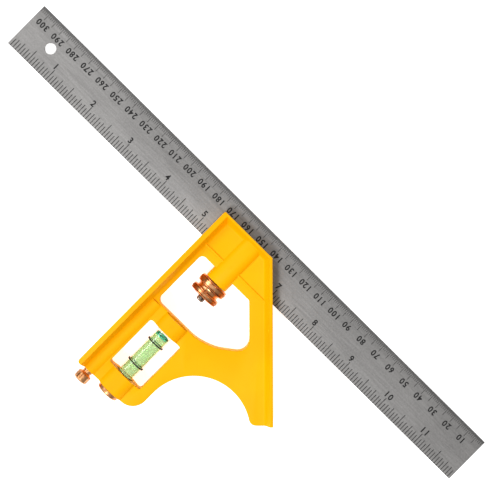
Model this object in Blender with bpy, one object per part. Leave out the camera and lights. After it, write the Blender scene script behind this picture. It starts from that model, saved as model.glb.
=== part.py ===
# Combination square: cast head, steel rule, hooked draw bolt with its nut, level vial, scriber.
# Blender 4.5, metres, +Z up. It lies flat on its head's rims, with the rule along X.
# Head coordinates run in millimetres: across (+X) from the 90 degree face, down (-Y) from the top edge.

import math

import bmesh
import bpy

MM = 0.001

# Rule
BLADE_LENGTH = 304.8
BLADE_WIDTH = 25.4
BLADE_THICKNESS = 2.0
BLADE_LEFT = -132.5          # the rule's left end, from the 90 degree face
BLADE_ABOVE = 9.2            # how far the rule stands above the head's top edge
GROOVE_WIDTH = 3.2
GROOVE_DEPTH = 0.9
HANG_HOLE = 5.6
HANG_HOLE_FROM_END = 16.6

# Head
HEAD_THICKNESS = 19.0
WEB_THICKNESS = 9.0
TOP_WIDTH = 32.1             # top edge, from the 90 degree face to the 45 degree face
SLANT_LENGTH = 82.5          # 45 degree face
SQUARE_LENGTH = 101.9        # 90 degree face
FOOT_CORNER = 3.5            # rounds the foot's end into the finger arc
ARM_CORNER = 8.4
TOE_CORNER = 1.5
ARC_CENTRE = (65.05, 87.85)
ARC_RADIUS = 27.75
ARM_WIDTH = ARC_CENTRE[0] - ARC_RADIUS
SQUARE_RIM = 2.4             # flat widths of the rims that stand round the web
TOP_RIM = 1.1
SLANT_RIM = 1.4
DRAFT = 2.4                  # how far the rims' inner walls lean out on their way to the web
RIDGE_AT = 18.0              # low bead across the web, just under the rule
RIDGE_WIDTH = 1.0
RIDGE_HEIGHT = 0.6
SLOT_GAP = 0.3

# Clamp
CLAMP_AXIS = 21.4
BOSS_WIDTH = 12.4
BOSS_HEIGHT = 14.4
BOSS_ROUND = 5.4
BOSS_END = 28.2
COUNTERBORE = 9.6
COUNTERBORE_END = 25.0
SHANK_HOLE = 5.6
BOLT_HEAD = 9.0
BOLT_TOP = 3.0
BOLT_COLLAR_START = 17.5
BOLT_COLLAR_END = 19.5
BOLT_SHANK = 4.6
BOLT_END = 40.2
HOOK_WIDTH = 1.8
HOOK_HEIGHT = 0.9
SPRING_DIAMETER = 8.4
SPRING_WIRE = 0.9
SPRING_TURNS = 4
NUT_DIAMETER = 15.7
NUT_WAIST = 12.0
NUT_BORE = 5.2
NUT_START = 28.6
NUT_UPPER_FLANGE = 3.8
NUT_GROOVE = 2.0
NUT_LOWER_FLANGE = 3.2

# Windows, from the 90 degree face and the top edge
CLAMP_WINDOW_LEFT = 6.7
CLAMP_WINDOW_TOP = 22.75
CLAMP_WINDOW_BOTTOM = 54.2
VIAL_WINDOW = (11.2, 31.45, 62.8, 91.5)
VIAL_WINDOW_CORNER = 1.2

# Vial
VIAL_AXIS = 21.2
VIAL_BARREL = 15.8
VIAL_BARREL_HEIGHT = 15.0
VIAL_BARREL_ROUND = 6.2
VIAL_BARREL_START = 54.6
VIAL_BORE = 10.2
VIAL_BORE_TOP = 57.0
CUSHION_DIAMETER = 9.4
CUSHION_THICKNESS = 1.5
TUBE_DIAMETER = 9.0
TUBE_WALL = 0.5
TUBE_START = 59.1
TUBE_END = 95.0
LIQUID_START = 64.8
LIQUID_END = 91.4
MENISCUS_DEPTH = 1.2
STOPPER_START = 91.7
INDEX_RINGS = (("index_ring_upper", 70.2), ("index_ring_lower", 84.1))
RING_WIDTH = 0.6
RING_WALL = 0.25
CAP_DIAMETER = 11.9
CAP_HEIGHT = 2.4
CAP_SHANK = 9.6
CAP_SHANK_START = 96.4
CAP_SLOT_WIDTH = 1.4
CAP_SLOT_DEPTH = 0.9

# Scriber
SCRIBER_AXIS = 7.2
SCRIBER_BARREL = 11.0
SCRIBER_BORE = 5.0
SCRIBER_BORE_TOP = 57.0
SCRIBER_BARREL_START = 54.2
SLEEVE_START = 86.0
SLEEVE_END = 100.6
SLEEVE_OUTER = 4.4
SLEEVE_INNER = 3.0
NEEDLE_DIAMETER = 2.4
NEEDLE_TIP_AT = 60.0
NEEDLE_TIP_LENGTH = 7.0
NEEDLE_END = 106.0
KNOB_NECK = 5.0
KNOB_NECK_LENGTH = 2.6
KNOB_DIAMETER = 7.4
KNOB_LENGTH = 4.4

CONTACT_GAP = 0.3            # neighbours that touch on the real tool stand this far apart
MIDDLE = HEAD_THICKNESS / 2
OVERSHOOT = 2.0              # how far a cutter runs past the face that it opens
SIDES = 40

# The origin is under the middle of the whole tool's box.
KNOB_START = SQUARE_LENGTH + CONTACT_GAP
KNOB_END = KNOB_START + KNOB_NECK_LENGTH + KNOB_LENGTH
ORIGIN_ACROSS = BLADE_LEFT + BLADE_LENGTH / 2
ORIGIN_DOWN = (KNOB_END - BLADE_ABOVE) / 2


def place(across, down, height=0.0):
    """World position of a point given in head coordinates."""
    return ((across - ORIGIN_ACROSS) * MM, (ORIGIN_DOWN - down) * MM, height * MM)


def clear_scene():
    for obj in list(bpy.data.objects):
        bpy.data.objects.remove(obj, do_unlink=True)


def make_material(name, colour, roughness, metallic, alpha=1.0):
    material = bpy.data.materials.new(name)
    material.use_nodes = True
    shader = material.node_tree.nodes["Principled BSDF"]
    shader.inputs["Base Color"].default_value = (*colour, 1.0)
    shader.inputs["Roughness"].default_value = roughness
    shader.inputs["Metallic"].default_value = metallic
    shader.inputs["Alpha"].default_value = alpha
    return material


def add_object(name, shape, material=None):
    """Makes one object from a bmesh whose points are in world metres."""
    bmesh.ops.remove_doubles(shape, verts=shape.verts[:], dist=1e-7)
    bmesh.ops.recalc_face_normals(shape, faces=shape.faces[:])
    mesh = bpy.data.meshes.new(name)
    shape.to_mesh(mesh)
    shape.free()
    obj = bpy.data.objects.new(name, mesh)
    bpy.context.scene.collection.objects.link(obj)
    if material:
        mesh.materials.append(material)
    return obj


def set_origin(obj, point):
    """Moves an object's origin to a world point, and leaves its shape in place."""
    for vertex in obj.data.vertices:
        vertex.co = [vertex.co[axis] - point[axis] for axis in range(3)]
    obj.location = point


def hide_cutter(obj):
    obj.hide_render = True
    obj.display_type = "WIRE"
    return obj


def boolean(target, tool, operation):
    modifier = target.modifiers.new(f"{operation.lower()}_{tool.name}", "BOOLEAN")
    modifier.operation = operation
    modifier.solver = "EXACT"
    modifier.object = tool
    hide_cutter(tool)


def shade_round(obj):
    obj.data.shade_smooth()
    obj.data.set_sharp_from_angle(angle=math.radians(35))


def arc(centre, radius, start, end, steps):
    """Points of an arc; angles in degrees, from across towards down."""
    points = []
    for step in range(steps + 1):
        angle = math.radians(start + (end - start) * step / steps)
        points.append((centre[0] + radius * math.cos(angle), centre[1] + radius * math.sin(angle)))
    return points


def rounded(corners, steps=6):
    """An outline from (across, down, radius) corners, each rounded to its radius."""
    outline = []
    count = len(corners)
    for index, (x, y, radius) in enumerate(corners):
        if radius == 0:
            outline.append((x, y))
            continue
        before = corners[index - 1]
        after = corners[(index + 1) % count]
        to_before = math.atan2(before[1] - y, before[0] - x)
        to_after = math.atan2(after[1] - y, after[0] - x)
        half = (to_after - to_before) % math.tau / 2
        bisector = to_before + half
        reach = radius / abs(math.sin(half))
        centre = (x + reach * math.cos(bisector), y + reach * math.sin(bisector))
        side = 1 if half < math.pi / 2 else -1
        if side < 0:
            centre = (x - reach * math.cos(bisector), y - reach * math.sin(bisector))
        start = to_before - side * math.pi / 2
        sweep = -side * (math.pi - 2 * half) if side > 0 else (2 * half - math.pi)
        for step in range(steps + 1):
            angle = start + sweep * step / steps
            outline.append((centre[0] + radius * math.cos(angle), centre[1] + radius * math.sin(angle)))
    return outline


def plate(name, outline, low, high, material=None):
    """An outline in head coordinates, extruded from one height to another."""
    shape = bmesh.new()
    verts = [shape.verts.new(place(x, y, low)) for x, y in outline]
    face = shape.faces.new(verts)
    grown = bmesh.ops.extrude_face_region(shape, geom=[face])
    lifted = [item for item in grown["geom"] if isinstance(item, bmesh.types.BMVert)]
    bmesh.ops.translate(shape, verts=lifted, vec=(0, 0, (high - low) * MM))
    return add_object(name, shape, material)


def frustum(name, first, first_height, second, second_height):
    """A body between two outlines that have as many points as each other."""
    shape = bmesh.new()
    near = [shape.verts.new(place(x, y, first_height)) for x, y in first]
    far = [shape.verts.new(place(x, y, second_height)) for x, y in second]
    shape.faces.new(near)
    shape.faces.new(far)
    for step in range(len(near)):
        shape.faces.new([near[step - 1], near[step], far[step], far[step - 1]])
    return add_object(name, shape)


def block(name, left, right, top, bottom, low, high, material=None):
    outline = [(left, top), (right, top), (right, bottom), (left, bottom)]
    return plate(name, outline, low, high, material)


def turned(name, profile, across, height=MIDDLE, material=None, sides=SIDES):
    """A body turned about an axis along Y, from (down, radius) points; radius 0 closes it."""
    shape = bmesh.new()
    rings = []
    for down, radius in profile:
        count = 1 if radius == 0 else sides
        ring = []
        for side in range(count):
            angle = math.tau * side / sides
            x = across + radius * math.cos(angle)
            z = height + radius * math.sin(angle)
            ring.append(shape.verts.new(place(x, down, z)))
        rings.append(ring)
    for (near, first), (far, second) in zip(zip(profile, rings), zip(profile[1:], rings[1:])):
        if near[0] == far[0] and 1 in (len(first), len(second)):
            shape.faces.new(max(first, second, key=len))
            continue
        for side in range(sides):
            after = (side + 1) % sides
            corners = [first[side % len(first)], first[after % len(first)],
                       second[after % len(second)], second[side % len(second)]]
            unique = list(dict.fromkeys(corners))
            if len(unique) > 2:
                shape.faces.new(unique)
    if len(rings[0]) > 1 and profile[0] == profile[-1]:
        bmesh.ops.remove_doubles(shape, verts=shape.verts[:], dist=1e-7)
    obj = add_object(name, shape, material)
    shade_round(obj)
    return obj


def bar(name, across, width, height, corner, start, end):
    """A bar along Y with a round-edged section, centred on the head's thickness."""
    left, right = across - width / 2, across + width / 2
    low, high = MIDDLE - height / 2, MIDDLE + height / 2
    section = rounded([(left, low, corner), (right, low, corner),
                       (right, high, corner), (left, high, corner)])
    shape = bmesh.new()
    face = shape.faces.new([shape.verts.new(place(x, start, z)) for x, z in section])
    grown = bmesh.ops.extrude_face_region(shape, geom=[face])
    moved = [item for item in grown["geom"] if isinstance(item, bmesh.types.BMVert)]
    bmesh.ops.translate(shape, verts=moved, vec=(0, (start - end) * MM, 0))
    return add_object(name, shape)


def rod(name, start, end, diameter, across, material=None, sides=SIDES):
    radius = diameter / 2
    profile = [(start, 0), (start, radius), (end, radius), (end, 0)]
    return turned(name, profile, across, material=material, sides=sides)


def pipe(name, start, end, outer, inner, across, material=None):
    profile = [(start, inner / 2), (start, outer / 2), (end, outer / 2), (end, inner / 2),
               (start, inner / 2)]
    return turned(name, profile, across, material=material)


def head_outline():
    slope = SLANT_LENGTH / math.sqrt(2)
    tip = (TOP_WIDTH + slope, slope)
    # The foot's corner is a circle that touches both the foot's end and the finger arc:
    # its centre is one radius inside the end, and its distance along the end follows from the arc.
    inside = FOOT_CORNER / math.sqrt(2)
    start = (tip[0] - inside - ARC_CENTRE[0], tip[1] - inside - ARC_CENTRE[1])
    along = (start[1] - start[0]) / math.sqrt(2)
    reach = ARC_RADIUS + FOOT_CORNER
    travel = -along - math.sqrt(along ** 2 - start[0] ** 2 - start[1] ** 2 + reach ** 2)
    heel = (tip[0] - inside - travel / math.sqrt(2), tip[1] - inside + travel / math.sqrt(2))
    bearing = math.degrees(math.atan2(heel[1] - ARC_CENTRE[1], heel[0] - ARC_CENTRE[0]))
    outline = [(0, 0), (TOP_WIDTH, 0), tip]
    outline += arc(heel, FOOT_CORNER, 45, bearing + 180, 8)
    outline += arc(ARC_CENTRE, ARC_RADIUS, bearing, -180, 28)[1:]
    outline += arc((ARM_WIDTH - ARM_CORNER, SQUARE_LENGTH - ARM_CORNER), ARM_CORNER, 0, 90, 10)
    outline += arc((TOE_CORNER, SQUARE_LENGTH - TOE_CORNER), TOE_CORNER, 90, 180, 4)
    return outline


def recess_outline(inset):
    """The web's recess, drawn in evenly from the rims; it runs off the head at the arm and the foot."""
    left = SQUARE_RIM + inset
    top = TOP_RIM + inset
    slant = TOP_WIDTH - (SLANT_RIM + inset) * math.sqrt(2)
    bottom = SQUARE_LENGTH + OVERSHOOT
    return [(left, top), (slant + top, top), (slant + bottom, bottom), (left, bottom)]


def clamp_window():
    left = CLAMP_WINDOW_LEFT
    top = CLAMP_WINDOW_TOP
    bottom = CLAMP_WINDOW_BOTTOM
    return rounded([
        (left, top, 2.4),
        (39.1, top, 0.8),
        (57.2, 40.9, 7.0),
        (39.3, bottom, 9.0),
        (left, bottom, 3.4),
    ])


def make_head(material):
    head = plate("square_head", head_outline(), 0, HEAD_THICKNESS, material)
    depth = (HEAD_THICKNESS - WEB_THICKNESS) / 2
    floor = recess_outline(DRAFT)
    mouth = recess_outline(-DRAFT * OVERSHOOT / depth)
    above = HEAD_THICKNESS + OVERSHOOT
    below = -OVERSHOOT
    boolean(head, frustum("front_recess", floor, HEAD_THICKNESS - depth, mouth, above), "DIFFERENCE")
    boolean(head, frustum("back_recess", floor, depth, mouth, below), "DIFFERENCE")
    ridge_end = TOP_WIDTH + RIDGE_AT - SLANT_RIM / math.sqrt(2)
    ridge = block("web_bead", SQUARE_RIM / 2, ridge_end, RIDGE_AT - RIDGE_WIDTH / 2,
                  RIDGE_AT + RIDGE_WIDTH / 2, depth - RIDGE_HEIGHT, HEAD_THICKNESS - depth + RIDGE_HEIGHT)
    boolean(head, ridge, "UNION")

    # The barrels start out a little long, and one flat cut faces the arm's end.
    arm_end = SQUARE_LENGTH + OVERSHOOT / 2
    scriber_barrel = rod("scriber_barrel", SCRIBER_BARREL_START, arm_end, SCRIBER_BARREL, SCRIBER_AXIS)
    boolean(head, scriber_barrel, "UNION")
    vial_barrel = bar("vial_barrel", VIAL_AXIS, VIAL_BARREL, VIAL_BARREL_HEIGHT, VIAL_BARREL_ROUND,
                      VIAL_BARREL_START, arm_end)
    boolean(head, vial_barrel, "UNION")
    trim = block("arm_end_trim", -OVERSHOOT, ARM_WIDTH, SQUARE_LENGTH, arm_end + OVERSHOOT, below, above)
    boolean(head, trim, "DIFFERENCE")

    boolean(head, plate("clamp_window", clamp_window(), below, above), "DIFFERENCE")
    left, right, top, bottom = VIAL_WINDOW
    corner = VIAL_WINDOW_CORNER
    vial_opening = rounded([(left, top, corner), (right, top, corner),
                            (right, bottom, corner), (left, bottom, corner)])
    boolean(head, plate("vial_window", vial_opening, below, above), "DIFFERENCE")
    bolt_boss = bar("bolt_boss", CLAMP_AXIS, BOSS_WIDTH, BOSS_HEIGHT, BOSS_ROUND, TOP_RIM / 2, BOSS_END)
    boolean(head, bolt_boss, "UNION")

    half_slot = BLADE_THICKNESS / 2 + SLOT_GAP
    slot_end = BLADE_WIDTH - BLADE_ABOVE + SLOT_GAP
    slot = block("blade_slot", -OVERSHOOT, TOP_WIDTH + slot_end + OVERSHOOT, -OVERSHOOT, slot_end,
                 MIDDLE - half_slot, MIDDLE + half_slot)
    boolean(head, slot, "DIFFERENCE")
    bores = [
        ("counterbore", -OVERSHOOT, COUNTERBORE_END, COUNTERBORE, CLAMP_AXIS),
        ("shank_hole", COUNTERBORE_END - 1, BOSS_END + OVERSHOOT, SHANK_HOLE, CLAMP_AXIS),
        ("vial_bore", VIAL_BORE_TOP, SQUARE_LENGTH + OVERSHOOT, VIAL_BORE, VIAL_AXIS),
        ("scriber_bore", SCRIBER_BORE_TOP, SQUARE_LENGTH + OVERSHOOT, SCRIBER_BORE, SCRIBER_AXIS),
    ]
    for name, start, end, diameter, across in bores:
        boolean(head, rod(name, start, end, diameter, across), "DIFFERENCE")
    return head


def make_blade(material):
    right = BLADE_LEFT + BLADE_LENGTH
    bottom = BLADE_WIDTH - BLADE_ABOVE
    back = MIDDLE - BLADE_THICKNESS / 2
    front = MIDDLE + BLADE_THICKNESS / 2
    blade = block("blade", BLADE_LEFT, right, -BLADE_ABOVE, bottom, back, front, material)
    centre = bottom - BLADE_WIDTH / 2
    groove = block("blade_groove", BLADE_LEFT - OVERSHOOT, right + OVERSHOOT, centre - GROOVE_WIDTH / 2,
                   centre + GROOVE_WIDTH / 2, back - OVERSHOOT, back + GROOVE_DEPTH)
    boolean(blade, groove, "DIFFERENCE")
    hole_at = (BLADE_LEFT + HANG_HOLE_FROM_END, centre)
    circle = arc(hole_at, HANG_HOLE / 2, 0, 351, 39)
    hole = plate("hang_hole", circle, back - OVERSHOOT, front + OVERSHOOT)
    boolean(blade, hole, "DIFFERENCE")
    return blade


def make_bolt(material):
    radius = BOLT_HEAD / 2
    shank = BOLT_SHANK / 2
    profile = [(BOLT_TOP, 0), (BOLT_TOP, radius), (BOLT_COLLAR_END, radius), (BOLT_COLLAR_END, shank),
               (BOLT_END - 0.5, shank), (BOLT_END, shank - 0.5), (BOLT_END, 0)]
    bolt = turned("clamp_bolt", profile, CLAMP_AXIS, material=material)
    flat = MIDDLE - BLADE_THICKNESS / 2 - CONTACT_GAP
    left = CLAMP_AXIS - BOLT_HEAD
    right = CLAMP_AXIS + BOLT_HEAD
    relief = block("bolt_relief", left, right, BOLT_TOP - OVERSHOOT, BOLT_COLLAR_START,
                   flat, HEAD_THICKNESS)
    boolean(bolt, relief, "DIFFERENCE")
    half_hook = math.sqrt(radius ** 2 - (MIDDLE - flat) ** 2) - 0.2
    hook = block("bolt_hook", CLAMP_AXIS - half_hook, CLAMP_AXIS + half_hook, BOLT_TOP,
                 BOLT_TOP + HOOK_WIDTH, flat - 0.5, flat + HOOK_HEIGHT)
    boolean(bolt, hook, "UNION")
    set_origin(bolt, place(CLAMP_AXIS, BOLT_COLLAR_END, MIDDLE))
    return bolt


def make_spring(material):
    """A closed coil from a swept ring, between the bolt's collar and the counterbore's floor."""
    shape = bmesh.new()
    coil = (SPRING_DIAMETER - SPRING_WIRE) / 2
    wire = SPRING_WIRE / 2
    start = BOLT_COLLAR_END + CONTACT_GAP + wire
    end = COUNTERBORE_END - CONTACT_GAP - wire
    steps = SPRING_TURNS * 28
    sides = 8
    rings = []
    for step in range(steps + 1):
        angle = math.tau * SPRING_TURNS * step / steps
        down = start + (end - start) * step / steps
        ring = []
        for side in range(sides):
            turn = math.tau * side / sides
            reach = coil + wire * math.cos(turn)
            x = CLAMP_AXIS + reach * math.cos(angle)
            z = MIDDLE + reach * math.sin(angle)
            ring.append(shape.verts.new(place(x, down + wire * math.sin(turn), z)))
        rings.append(ring)
    for first, second in zip(rings, rings[1:]):
        for side in range(sides):
            after = (side + 1) % sides
            shape.faces.new([first[side], first[after], second[after], second[side]])
    shape.faces.new(rings[0])
    shape.faces.new(rings[-1])
    spring = add_object("clamp_spring", shape, material)
    spring.data.shade_smooth()
    return spring


def make_nut(material):
    radius = NUT_DIAMETER / 2
    waist = NUT_WAIST / 2
    bore = NUT_BORE / 2
    chamfer = 0.4
    upper_end = NUT_START + NUT_UPPER_FLANGE
    lower_start = upper_end + NUT_GROOVE
    nut_end = lower_start + NUT_LOWER_FLANGE
    profile = [(NUT_START, bore)]
    for start, end in ((NUT_START, upper_end), (lower_start, nut_end)):
        profile += [(start, radius - chamfer), (start + chamfer, radius),
                    (end - chamfer, radius), (end, radius - chamfer)]
        if start == NUT_START:
            profile += [(end, waist), (lower_start, waist)]
    profile += [(nut_end, bore), (NUT_START, bore)]
    nut = turned("clamp_nut", profile, CLAMP_AXIS, material=material)
    set_origin(nut, place(CLAMP_AXIS, NUT_START, MIDDLE))
    return nut


def make_vial(materials):
    cushion_start = VIAL_BORE_TOP + CONTACT_GAP
    rod("vial_cushion", cushion_start, cushion_start + CUSHION_THICKNESS, CUSHION_DIAMETER, VIAL_AXIS,
        materials["rubber"])
    outer = TUBE_DIAMETER / 2
    inner = outer - TUBE_WALL
    dome = 1.0
    tube_profile = [(TUBE_START, 0), (TUBE_START, outer - dome), (TUBE_START + dome, outer),
                    (TUBE_END, outer), (TUBE_END, inner), (TUBE_START + 1.8, inner),
                    (TUBE_START + 1.2, inner - 0.6), (TUBE_START + 1.2, 0)]
    turned("vial_tube", tube_profile, VIAL_AXIS, material=materials["clear"])
    filling = inner - CONTACT_GAP
    liquid_profile = [(LIQUID_START + MENISCUS_DEPTH, 0)]
    for share in (0.35, 0.6, 0.8, 0.93, 1.0):
        rise = MENISCUS_DEPTH * (1 - math.sqrt(1 - share ** 2))
        liquid_profile.append((LIQUID_START + MENISCUS_DEPTH - rise, filling * share))
    liquid_profile += [(LIQUID_END, filling), (LIQUID_END, 0)]
    turned("vial_liquid", liquid_profile, VIAL_AXIS, material=materials["spirit"])
    rod("vial_stopper", STOPPER_START, TUBE_END, 2 * filling, VIAL_AXIS, materials["plug"])
    ring_inner = TUBE_DIAMETER + CONTACT_GAP
    for name, at in INDEX_RINGS:
        pipe(name, at - RING_WIDTH / 2, at + RING_WIDTH / 2, ring_inner + 2 * RING_WALL, ring_inner,
             VIAL_AXIS, materials["black"])
    cap_start = SQUARE_LENGTH + CONTACT_GAP
    cap_end = cap_start + CAP_HEIGHT
    cap_profile = [(CAP_SHANK_START, 0), (CAP_SHANK_START, CAP_SHANK / 2), (cap_start, CAP_SHANK / 2),
                   (cap_start, CAP_DIAMETER / 2), (cap_end - 0.6, CAP_DIAMETER / 2),
                   (cap_end, CAP_DIAMETER / 2 - 0.8), (cap_end, 0)]
    cap = turned("vial_cap", cap_profile, VIAL_AXIS, material=materials["brass"])
    slot = block("cap_slot", VIAL_AXIS - CAP_DIAMETER, VIAL_AXIS + CAP_DIAMETER, cap_end - CAP_SLOT_DEPTH,
                 cap_end + OVERSHOOT, MIDDLE - CAP_SLOT_WIDTH / 2, MIDDLE + CAP_SLOT_WIDTH / 2)
    boolean(cap, slot, "DIFFERENCE")


def make_scriber(materials):
    neck_end = KNOB_START + KNOB_NECK_LENGTH
    neck = KNOB_NECK / 2
    knob = KNOB_DIAMETER / 2
    socket = SLEEVE_INNER / 2
    socket_end = NEEDLE_END + CONTACT_GAP
    knob_profile = [(socket_end, 0), (socket_end, socket), (KNOB_START, socket), (KNOB_START, neck),
                    (neck_end, neck), (neck_end, knob - 0.4), (neck_end + 0.4, knob),
                    (KNOB_END - 0.6, knob), (KNOB_END, knob - 0.6), (KNOB_END, 0)]
    handle = turned("scriber_knob", knob_profile, SCRIBER_AXIS, material=materials["brass"])
    needle = NEEDLE_DIAMETER / 2
    needle_profile = [(NEEDLE_TIP_AT, 0), (NEEDLE_TIP_AT + 0.3, 0.15),
                      (NEEDLE_TIP_AT + NEEDLE_TIP_LENGTH, needle), (NEEDLE_END, needle), (NEEDLE_END, 0)]
    pin = turned("scriber_needle", needle_profile, SCRIBER_AXIS, material=materials["steel"], sides=24)
    for obj in (handle, pin):
        set_origin(obj, place(SCRIBER_AXIS, KNOB_START, MIDDLE))
    pipe("scriber_sleeve", SLEEVE_START, SLEEVE_END, SLEEVE_OUTER, SLEEVE_INNER, SCRIBER_AXIS,
         materials["plug"])


def main():
    clear_scene()
    materials = {
        "yellow": make_material("yellow_enamel", (0.95, 0.55, 0.0), 0.4, 0.0),
        "steel": make_material("satin_steel", (0.55, 0.55, 0.54), 0.38, 1.0),
        "spring": make_material("spring_steel", (0.45, 0.45, 0.46), 0.3, 1.0),
        "brass": make_material("brass", (0.75, 0.45, 0.22), 0.35, 1.0),
        "clear": make_material("clear_tube", (0.9, 0.97, 0.9), 0.05, 0.0, 0.3),
        "spirit": make_material("green_spirit", (0.45, 0.9, 0.35), 0.1, 0.0, 0.6),
        "plug": make_material("white_plug", (0.8, 0.8, 0.78), 0.5, 0.0),
        "rubber": make_material("rubber", (0.05, 0.05, 0.05), 0.8, 0.0),
        "black": make_material("index_black", (0.02, 0.02, 0.02), 0.5, 0.0),
    }
    make_head(materials["yellow"])
    make_blade(materials["steel"])
    make_bolt(materials["steel"])
    make_spring(materials["spring"])
    make_nut(materials["brass"])
    make_vial(materials)
    make_scriber(materials)


main()
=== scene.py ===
import math
import bpy
from mathutils import Matrix, Vector


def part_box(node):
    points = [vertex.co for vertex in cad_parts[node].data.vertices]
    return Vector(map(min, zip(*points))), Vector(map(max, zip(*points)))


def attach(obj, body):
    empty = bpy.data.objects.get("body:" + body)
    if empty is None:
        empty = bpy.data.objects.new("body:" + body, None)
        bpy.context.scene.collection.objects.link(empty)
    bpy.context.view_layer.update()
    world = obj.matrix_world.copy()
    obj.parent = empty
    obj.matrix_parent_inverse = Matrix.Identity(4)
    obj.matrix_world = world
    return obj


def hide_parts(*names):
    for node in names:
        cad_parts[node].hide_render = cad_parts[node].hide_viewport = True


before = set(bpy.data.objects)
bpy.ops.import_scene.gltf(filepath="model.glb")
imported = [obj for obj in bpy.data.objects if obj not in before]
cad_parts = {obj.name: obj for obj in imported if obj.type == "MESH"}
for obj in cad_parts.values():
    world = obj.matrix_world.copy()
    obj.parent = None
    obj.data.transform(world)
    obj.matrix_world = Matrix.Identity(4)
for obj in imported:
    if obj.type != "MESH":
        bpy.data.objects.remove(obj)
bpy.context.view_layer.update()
bpy.ops.object.select_all(action="DESELECT")
mm = 0.001
slack = 0.01 * mm  # places closer than this count as one

# The head's box gives its 90 degree face, its top edge and its middle height.
headLow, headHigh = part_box("square_head")
bladeLow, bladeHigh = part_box("blade")
middle = (headLow.z + headHigh.z) / 2 / mm
headTop = headHigh.z / mm
headWidth = (headHigh.x - headLow.x) / mm
squareLength = (headHigh.y - headLow.y) / mm


def at(across, down, height=middle):
    # millimetres from the 90 degree face, down from the head's top edge, up from the bench
    return Vector((headLow.x + across * mm, headHigh.y - down * mm, height * mm))


# helpers that shape pieces
def only(obj):
    if bpy.context.mode != "OBJECT":
        bpy.ops.object.mode_set(mode="OBJECT")
    bpy.ops.object.select_all(action="DESELECT")
    obj.select_set(True)
    bpy.context.view_layer.objects.active = obj


def settle(obj):
    only(obj)
    bpy.ops.object.transform_apply(location=True, rotation=True, scale=True)
    return obj


def editWhere(obj, kind, test):
    # enters edit mode with only the items that pass the test selected
    only(obj)
    bpy.ops.object.mode_set(mode="EDIT")
    bpy.context.tool_settings.mesh_select_mode = (kind == "VERT", kind == "EDGE", kind == "FACE")
    bpy.ops.mesh.select_all(action="DESELECT")
    bpy.ops.object.mode_set(mode="OBJECT")
    mesh = obj.data
    items = {"VERT": mesh.vertices, "EDGE": mesh.edges, "FACE": mesh.polygons}[kind]
    for item in items:
        item.select = bool(test(mesh, item))
    bpy.ops.object.mode_set(mode="EDIT")


def everything(mesh, item):
    return True


def leaveEdit():
    bpy.ops.object.mode_set(mode="OBJECT")


def block(name, left, right, top, bottom, low, high):
    centre = (at(left, top, low) + at(right, bottom, high)) / 2
    bpy.ops.mesh.primitive_cube_add(size=1, location=centre)
    obj = bpy.context.object
    obj.name = name
    obj.scale = ((right - left) * mm, (bottom - top) * mm, (high - low) * mm)
    return settle(obj)


def upright(name, place, radius, low, high, sides=64):
    centre = Vector((place.x, place.y, (low + high) / 2 * mm))
    bpy.ops.mesh.primitive_cylinder_add(vertices=sides, radius=radius * mm, depth=(high - low) * mm,
                                        location=centre)
    bpy.context.object.name = name
    return settle(bpy.context.object)


def lying(name, across, start, end, radius, sides=72):
    bpy.ops.mesh.primitive_cylinder_add(vertices=sides, radius=radius * mm, depth=(end - start) * mm,
                                        location=at(across, (start + end) / 2),
                                        rotation=(math.pi / 2, 0, 0))
    bpy.context.object.name = name
    return settle(bpy.context.object)


def cutAway(obj, point, normal):
    # removes what lies on the side that the normal points to, and closes the cut; the threshold is
    # small because the operator's own would pull the corners onto the plane
    editWhere(obj, "FACE", everything)
    bpy.ops.mesh.bisect(plane_co=point, plane_no=normal, use_fill=True, clear_outer=True,
                        threshold=slack / 100)
    leaveEdit()


def combine(obj, tool, operation):
    modifier = obj.modifiers.new(operation.lower(), "BOOLEAN")
    modifier.operation = operation
    modifier.solver = "EXACT"
    modifier.object = tool
    only(obj)
    bpy.ops.object.modifier_apply(modifier=modifier.name)
    bpy.data.objects.remove(tool, do_unlink=True)


def cut(obj, tool):
    combine(obj, tool, "DIFFERENCE")


def fuse(obj, tool):
    combine(obj, tool, "UNION")


def edgeEnds(mesh, edge):
    return [mesh.vertices[index].co for index in edge.vertices]


def bevelSelected(radius, segments):
    bpy.ops.mesh.bevel(offset=radius * mm, segments=segments, profile=0.5, affect="EDGES",
                       clamp_overlap=False)
    leaveEdit()


def roundEdges(obj, test, radius, segments=3):
    editWhere(obj, "EDGE", lambda mesh, edge: test(*edgeEnds(mesh, edge)))
    bevelSelected(radius, segments)


def roundCorner(obj, across, down, radius, segments=8):
    # rounds the upright edge that stands at a place
    place = at(across, down)

    def stands(first, second):
        isUpright = (first.xy - second.xy).length < slack
        return isUpright and (first.xy - place.xy).length < 0.4 * mm

    roundEdges(obj, stands, radius, segments)


def roundRims(obj, height, radius, segments=3):
    # rounds the edges, at one height on both sides of the middle, that stand over an upright wall
    walls = {key for face in obj.data.polygons if abs(face.normal.z) < 0.02 for key in face.edge_keys}

    def isRim(mesh, edge):
        first, second = edgeEnds(mesh, edge)
        level = abs(first.z - second.z) < slack
        return level and abs(abs(first.z - middle * mm) - height * mm) < slack and edge.key in walls

    editWhere(obj, "EDGE", isRim)
    bevelSelected(radius, segments)


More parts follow.
